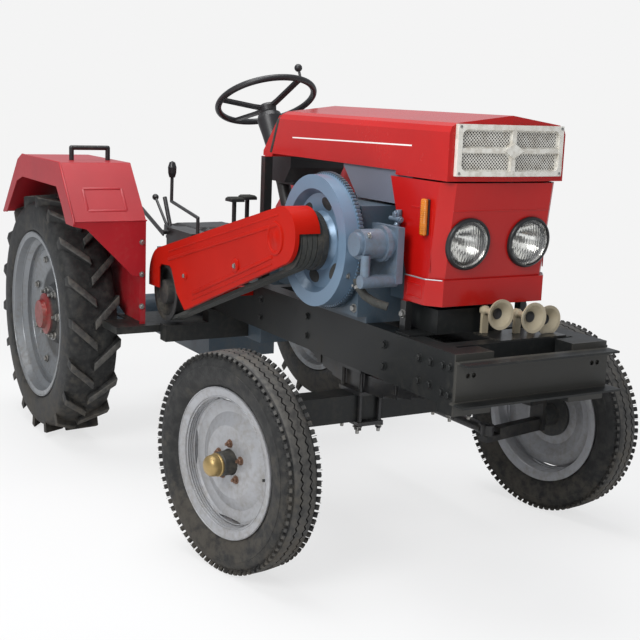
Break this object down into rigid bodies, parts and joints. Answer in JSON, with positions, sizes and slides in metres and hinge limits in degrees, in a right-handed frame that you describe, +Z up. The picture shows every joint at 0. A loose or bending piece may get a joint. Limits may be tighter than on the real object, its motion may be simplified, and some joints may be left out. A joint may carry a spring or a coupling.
{
  "type": "compact tractor",
  "caption": "Small open farm tractor with a belt-driven single-cylinder engine under a lifting bonnet, leaf-sprung steered front axle, large ribbed rear wheels, fenders and a drawbar.",
  "frame": {"origin": "on the ground, in the middle of the tractor's length and width", "axes": "+X towards the front bumper, +Y to the driver's left, +Z up; the front wheels are parked 11 degrees to the left"},
  "size_m": [2.7736, 1.584, 1.5293],
  "materials": {
    "red_paint": "gloss",
    "black_paint": "satin",
    "chassis_paint": "satin",
    "grey_blue_paint": "satin",
    "rim_grey": "satin",
    "rear_rim_silver": "satin",
    "tank_grey": "satin",
    "tyre": "matt",
    "rubber": "matt",
    "lamp": "gloss",
    "grille_cream": "satin",
    "amber": "gloss",
    "black_plastic": "matt",
    "horn_ivory": "gloss",
    "cast_iron": "rough",
    "steel": "machined",
    "seat_black": "satin"
  },
  "bodies": {
    "chassis": {"frame_rail_right": "chassis_paint", "frame_rail_left": "chassis_paint", "cross_members": "chassis_paint", "spring_hangers": "chassis_paint", "bumper_channel": "chassis_paint", "leaf_springs": "black_paint", "spring_clamps": "black_paint", "front_axle_beam": "black_paint", "steering_box": "cast_iron", "steering_column": "black_plastic", "engine_block": "grey_blue_paint", "fuel_tank": "tank_grey", "coolant_pump": "grey_blue_paint", "exhaust_silencer": "steel", "air_cleaner": "black_paint", "drive_belts": "rubber", "belt_cover": "red_paint", "gearbox": "grey_blue_paint", "rear_axle_housing": "grey_blue_paint", "drawbar": "chassis_paint", "front_panel": "red_paint", "headlamps": "lamp", "side_markers": "amber", "battery_box": "black_plastic", "horns": "horn_ivory", "dash_cowl": "red_paint", "column_support": "tank_grey", "fender_right": "red_paint", "fender_left": "red_paint", "fender_handles": "black_paint", "footboards": "chassis_paint", "seat_cushion": "seat_black", "seat_bracket": "black_paint", "gear_levers": "steel", "pedals": "black_paint"},
    "hood": {"hood": "red_paint", "grille": "grille_cream"},
    "knuckle_right": {"knuckle_right": "black_paint"},
    "knuckle_left": {"knuckle_left": "black_paint"},
    "front_right_wheel": {"front_wheel_right": "rim_grey", "front_tyre_right": "tyre", "front_hub_right": "black_paint"},
    "front_left_wheel": {"front_wheel_left": "rim_grey", "front_tyre_left": "tyre", "front_hub_left": "black_paint"},
    "rear_right_wheel": {"rear_wheel_right": "rear_rim_silver", "rear_tyre_right": "tyre"},
    "rear_left_wheel": {"rear_wheel_left": "rear_rim_silver", "rear_tyre_left": "tyre"},
    "tie_rod": {"tie_rod": "black_paint"},
    "drag_link": {"drag_link": "black_paint"},
    "drop_arm": {"drop_arm": "black_paint"},
    "steering_wheel": {"steering_wheel": "black_plastic"},
    "flywheel": {"flywheel": "grey_blue_paint", "crank_pulley": "black_paint"},
    "clutch_pulley": {"clutch_pulley": "black_paint"}
  },
  "joints": [
    {"name": "hood_hinge", "type": "hinge", "parent": "chassis", "child": "hood", "pos_m": [0.162, 0, 1.33], "axis": [0, -1, 0], "range_deg": [0, 45]},
    {"name": "kingpin_right", "type": "hinge", "parent": "chassis", "child": "knuckle_right", "pos_m": [0.724, -0.515, 0.4], "axis": [0, 0, 1], "range_deg": [-46, 24]},
    {"name": "kingpin_left", "type": "hinge", "parent": "chassis", "child": "knuckle_left", "pos_m": [0.724, 0.515, 0.4], "axis": [0, 0, 1], "range_deg": [-46.5, 24.5]},
    {"name": "front_axle_right", "type": "hinge", "parent": "knuckle_right", "child": "front_right_wheel", "pos_m": [0.74594, -0.62789, 0.335], "axis": [-0.1908, 0.9816, 0], "continuous": true},
    {"name": "front_axle_left", "type": "hinge", "parent": "knuckle_left", "child": "front_left_wheel", "pos_m": [0.70206, 0.62789, 0.335], "axis": [-0.1908, 0.9816, 0], "continuous": true},
    {"name": "rear_axle_right", "type": "hinge", "parent": "chassis", "child": "rear_right_wheel", "pos_m": [-0.896, -0.655, 0.491], "axis": [0, 1, 0], "continuous": true},
    {"name": "rear_axle_left", "type": "hinge", "parent": "chassis", "child": "rear_left_wheel", "pos_m": [-0.896, 0.655, 0.491], "axis": [0, 1, 0], "continuous": true},
    {"name": "tie_rod_end", "type": "hinge", "parent": "knuckle_right", "child": "tie_rod", "pos_m": [0.59148, -0.54076, 0.428], "axis": [0, 0, 1], "range_deg": [-24.5, 46.5]},
    {"name": "drag_link_end", "type": "hinge", "parent": "knuckle_left", "child": "drag_link", "pos_m": [0.76483, 0.30493, 0.331], "axis": [0, 0, 1], "range_deg": [-24.5, 46.5]},
    {"name": "drop_arm_shaft", "type": "hinge", "parent": "chassis", "child": "drop_arm", "pos_m": [-0.036, 0.27, 0.68], "axis": [0, -1, 0], "range_deg": [-27.5, 14.6]},
    {"name": "steering_wheel_turn", "type": "hinge", "parent": "chassis", "child": "steering_wheel", "pos_m": [-0.34, 0, 1.389], "axis": [-0.4695, 0, 0.8829], "range_deg": [-560, 292]},
    {"name": "crankshaft", "type": "hinge", "parent": "chassis", "child": "flywheel", "pos_m": [0.71, -0.34, 0.986], "axis": [0, 1, 0], "continuous": true},
    {"name": "clutch_shaft", "type": "hinge", "parent": "chassis", "child": "clutch_pulley", "pos_m": [-0.226, -0.4, 0.68], "axis": [0, 1, 0], "continuous": true}
  ],
  "couplings": [
    {"joint": "kingpin_left", "follows": "kingpin_right", "ratio": 1},
    {"joint": "tie_rod_end", "follows": "kingpin_right", "ratio": -1},
    {"joint": "drag_link_end", "follows": "kingpin_right", "ratio": -1},
    {"joint": "drop_arm_shaft", "follows": "kingpin_right", "ratio": 0.59},
    {"joint": "steering_wheel_turn", "follows": "kingpin_right", "ratio": 12},
    {"joint": "clutch_shaft", "follows": "crankshaft", "ratio": 0.7963}
  ]
}
